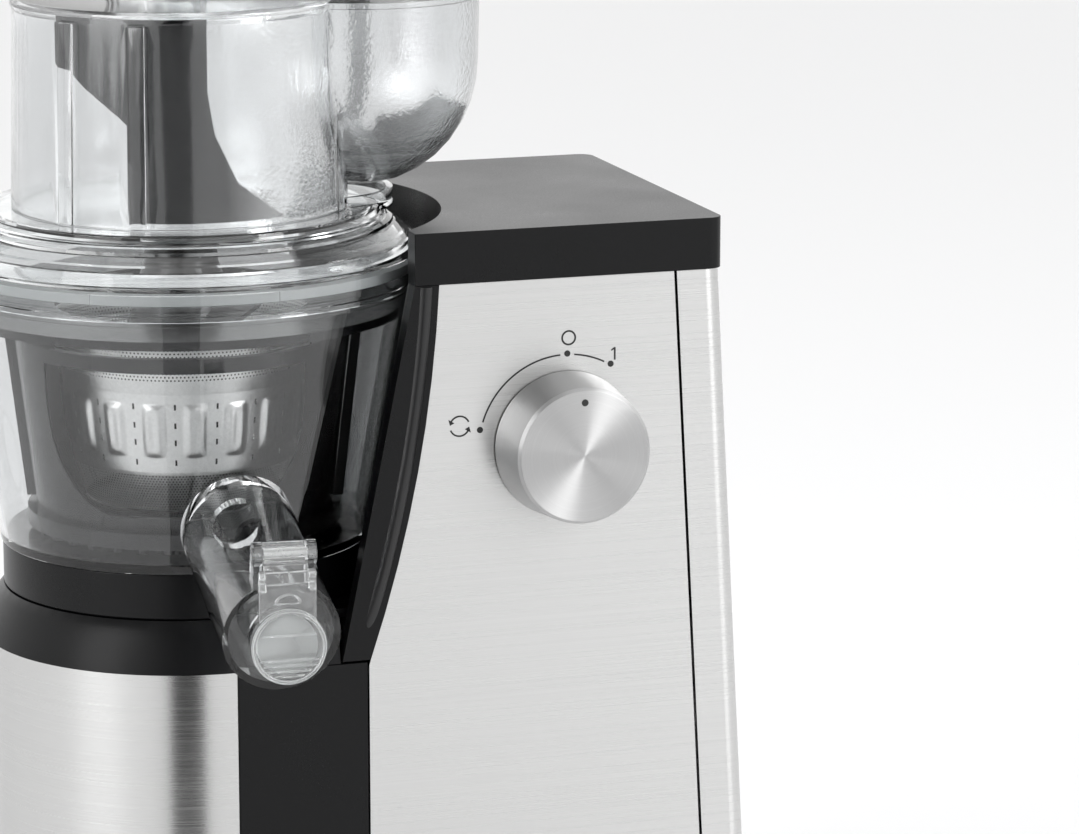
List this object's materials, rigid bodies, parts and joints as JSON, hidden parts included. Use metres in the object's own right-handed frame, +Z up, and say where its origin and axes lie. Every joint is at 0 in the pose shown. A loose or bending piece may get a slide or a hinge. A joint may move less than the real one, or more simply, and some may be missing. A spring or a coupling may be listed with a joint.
{
  "type": "vertical slow juicer",
  "caption": "Vertical slow juicer: clear bowl with strainer and auger on a steel nose, a wide hopper above, and a capped steel motor tower with a rotary knob.",
  "frame": {"origin": "middle of the object's box, on the surface it stands on", "axes": "+Z up; the knob and the juice spout face -Y; +X runs from the bowl to the tower"},
  "size_m": [0.2606, 0.2622, 0.4842],
  "materials": {
    "black_plastic": "satin, finely textured moulded plastic",
    "brushed_steel": "horizontally brushed stainless steel",
    "steel_parts": "plain machined steel",
    "clear_plastic": "clear polished copolyester",
    "smoke_plastic": "smoked glossy plastic",
    "perforated_steel": "polished perforated stainless sheet",
    "dark_silicone": "matt dark silicone",
    "pale_silicone": "translucent silicone",
    "die_cast": "as cast",
    "bronze": "sintered bronze",
    "core_steel": "stacked laminations",
    "copper": "enamelled copper windings",
    "nylon": "natural nylon",
    "circuit": "green circuit board",
    "auger_plastic": "dark filled engineering plastic"
  },
  "bodies": {
    "housing": {"base_pan": "black_plastic", "rubber_feet": "dark_silicone", "base_screws": "steel_parts", "chassis": "black_plastic", "nose_sleeve": "brushed_steel", "front_insert": "black_plastic", "rear_insert": "black_plastic", "front_panel": "brushed_steel", "rear_panel": "brushed_steel", "end_wrap": "brushed_steel", "top_cap": "black_plastic", "cap_screws": "steel_parts", "cradle": "black_plastic", "shoulder": "black_plastic", "bowl_seat": "black_plastic", "shaft_seal": "dark_silicone", "gearbox_case": "die_cast", "gearbox_lid": "die_cast", "gearbox_screws": "steel_parts", "output_bushes": "bronze", "gear_bushes": "bronze", "motor_frame": "die_cast", "stator_core": "core_steel", "stator_windings": "copper", "motor_bearings": "steel_parts", "motor_screws": "steel_parts", "rotary_switch": "black_plastic", "control_board": "circuit", "run_capacitor": "nylon", "cord_gland": "black_plastic", "interlock_sensor": "black_plastic"},
    "knob": {"knob_cap": "brushed_steel", "knob_core": "black_plastic", "knob_shaft": "steel_parts"},
    "rotor": {"motor_rotor": "core_steel", "motor_shaft": "steel_parts", "cooling_fan": "nylon"},
    "first_stage": {"first_gear": "nylon"},
    "second_stage": {"second_gear": "nylon"},
    "output": {"output_gear": "steel_parts", "drive_shaft": "steel_parts"},
    "bowl": {"juice_bowl": "clear_plastic", "strainer_frame": "smoke_plastic", "strainer_mesh": "perforated_steel", "bowl_seal": "dark_silicone", "spout_hinge_pin": "steel_parts"},
    "auger_body": {"auger": "auger_plastic", "auger_socket": "steel_parts"},
    "idler": {"idler_gear": "nylon"},
    "brush": {"brush_frame": "smoke_plastic", "wiper_blades": "dark_silicone"},
    "flip_cap": {"spout_cap": "clear_plastic", "spout_stopper": "pale_silicone"},
    "lid": {"lid_ring": "clear_plastic", "hopper": "clear_plastic", "feed_baffle": "smoke_plastic", "hopper_cover": "black_plastic", "lid_seal": "pale_silicone"},
    "pusher": {"pusher_ram": "clear_plastic", "pusher_grip": "black_plastic"}
  },
  "joints": [
    {"name": "output_spin", "type": "hinge", "parent": "housing", "child": "output", "pos_m": [-0.05082, 0.01938, 0.074], "axis": [0, 0, 1], "continuous": true},
    {"name": "second_gear_spin", "type": "hinge", "parent": "housing", "child": "second_stage", "pos_m": [0.00418, 0.01938, 0.08], "axis": [0, 0, 1], "continuous": true},
    {"name": "first_gear_spin", "type": "hinge", "parent": "housing", "child": "first_stage", "pos_m": [0.03918, 0.01938, 0.095], "axis": [0, 0, 1], "continuous": true},
    {"name": "motor_spin", "type": "hinge", "parent": "housing", "child": "rotor", "pos_m": [0.06718, 0.01938, 0.15], "axis": [0, 0, 1], "continuous": true},
    {"name": "knob_turn", "type": "hinge", "parent": "housing", "child": "knob", "pos_m": [0.06068, -0.04961, 0.2336], "axis": [0, 1, 0], "range_deg": [-78, 31]},
    {"name": "bowl_lift", "type": "slide", "parent": "housing", "child": "bowl", "axis": [0, 0, 1], "range_m": [0, 0.12]},
    {"name": "auger_spin", "type": "hinge", "parent": "bowl", "child": "auger_body", "pos_m": [-0.05082, 0.01938, 0.21], "axis": [0, 0, 1], "continuous": true},
    {"name": "idler_spin", "type": "hinge", "parent": "bowl", "child": "idler", "pos_m": [-0.05082, 0.04338, 0.204], "axis": [0, 0, 1], "continuous": true},
    {"name": "brush_spin", "type": "hinge", "parent": "bowl", "child": "brush", "pos_m": [-0.05082, 0.01938, 0.205], "axis": [0, 0, 1], "continuous": true},
    {"name": "spout_cap_hinge", "type": "hinge", "parent": "bowl", "child": "flip_cap", "pos_m": [-0.05431, -0.12272, 0.22304], "axis": [0.9977, -0.068, 0], "range_deg": [-100, 12]},
    {"name": "lid_turn", "type": "hinge", "parent": "bowl", "child": "lid", "pos_m": [-0.05082, 0.01938, 0.29], "axis": [0, 0, 1], "range_deg": [0, 30]},
    {"name": "pusher_slide", "type": "slide", "parent": "lid", "child": "pusher", "axis": [0, 0, 1], "range_m": [-0.03, 0.045]}
  ],
  "couplings": [
    {"joint": "second_gear_spin", "follows": "output_spin", "ratio": -2.6667},
    {"joint": "first_gear_spin", "follows": "output_spin", "ratio": 8},
    {"joint": "motor_spin", "follows": "output_spin", "ratio": -24},
    {"joint": "auger_spin", "follows": "output_spin", "ratio": 1},
    {"joint": "idler_spin", "follows": "output_spin", "ratio": -1.2857},
    {"joint": "brush_spin", "follows": "output_spin", "ratio": -0.3913}
  ]
}
